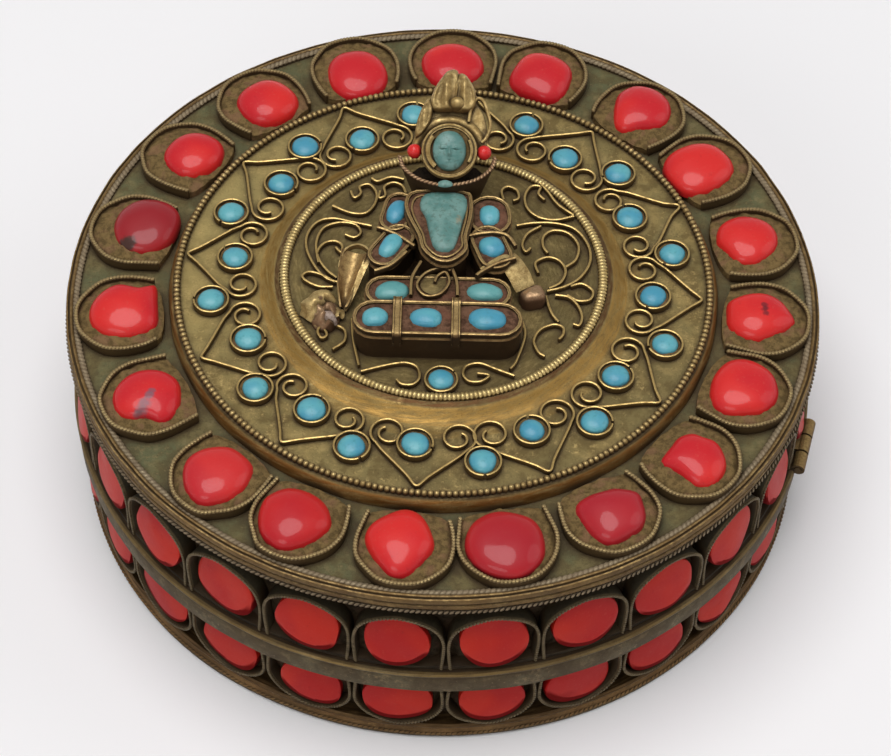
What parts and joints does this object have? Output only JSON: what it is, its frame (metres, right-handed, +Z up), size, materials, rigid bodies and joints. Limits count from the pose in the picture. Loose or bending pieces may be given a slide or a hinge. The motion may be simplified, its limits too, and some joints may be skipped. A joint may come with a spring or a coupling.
{
  "type": "trinket box",
  "caption": "Round hinged-lid brass trinket box with coral side stones, a raised platform of turquoises and a seated figure on top.",
  "frame": {"origin": "middle of the box's underside, on the surface it stands on", "axes": "+Z up, -Y towards the feet of the figure on the lid, +X to the right of someone facing it"},
  "size_m": [0.1096, 0.109, 0.0543],
  "materials": {
    "aged_brass": "dark aged brass with brown in its recesses",
    "green_brass": "matt olive patina",
    "gold_brass": "worn golden brass",
    "coral": "polished red coral",
    "turquoise": "polished turquoise"
  },
  "bodies": {
    "base": {"base_floor": "aged_brass", "base_wall": "aged_brass", "base_foot_strip": "aged_brass", "base_band": "aged_brass", "base_bezels": "aged_brass", "base_corals": "coral", "hinge_leaf_base": "aged_brass", "hinge_pin": "aged_brass"},
    "lid": {"lid_wall": "aged_brass", "lid_rim_strip": "aged_brass", "lid_side_bezels": "aged_brass", "top_bezels": "aged_brass", "hinge_leaf_lid": "aged_brass", "front_case": "aged_brass", "rear_case": "aged_brass", "body_case": "aged_brass", "head_case": "aged_brass", "lid_top_plate": "green_brass", "platform_plate": "gold_brass", "platform_wirework": "gold_brass", "disc_wirework": "gold_brass", "ribbon_left": "gold_brass", "ribbon_right": "gold_brass", "crown": "gold_brass", "lid_side_corals": "coral", "top_coral_01": "coral", "top_coral_02": "coral", "top_coral_03": "coral", "top_coral_04": "coral", "top_coral_05": "coral", "top_coral_06": "coral", "top_coral_07": "coral", "top_coral_08": "coral", "top_coral_09": "coral", "top_coral_10": "coral", "top_coral_11": "coral", "top_coral_12": "coral", "top_coral_13": "coral", "top_coral_14": "coral", "top_coral_15": "coral", "top_coral_16": "coral", "top_coral_17": "coral", "top_coral_18": "coral", "top_coral_19": "coral", "ear_bead_left": "coral", "ear_bead_right": "coral", "platform_turquoises": "turquoise", "front_stone_left": "turquoise", "front_stone_middle": "turquoise", "front_stone_right": "turquoise", "rear_stone_left": "turquoise", "rear_stone_right": "turquoise", "upper_arm_stone_left": "turquoise", "upper_arm_stone_right": "turquoise", "forearm_stone_left": "turquoise", "forearm_stone_right": "turquoise", "torso_stone": "turquoise", "face_stone": "turquoise", "foot_turquoise": "turquoise"}
  },
  "joints": [
    {"name": "lid_hinge", "type": "hinge", "parent": "base", "child": "lid", "pos_m": [0.05296, -0.0137, 0.0174], "axis": [0.2504, 0.9681, 0], "range_deg": [0, 100]}
  ]
}
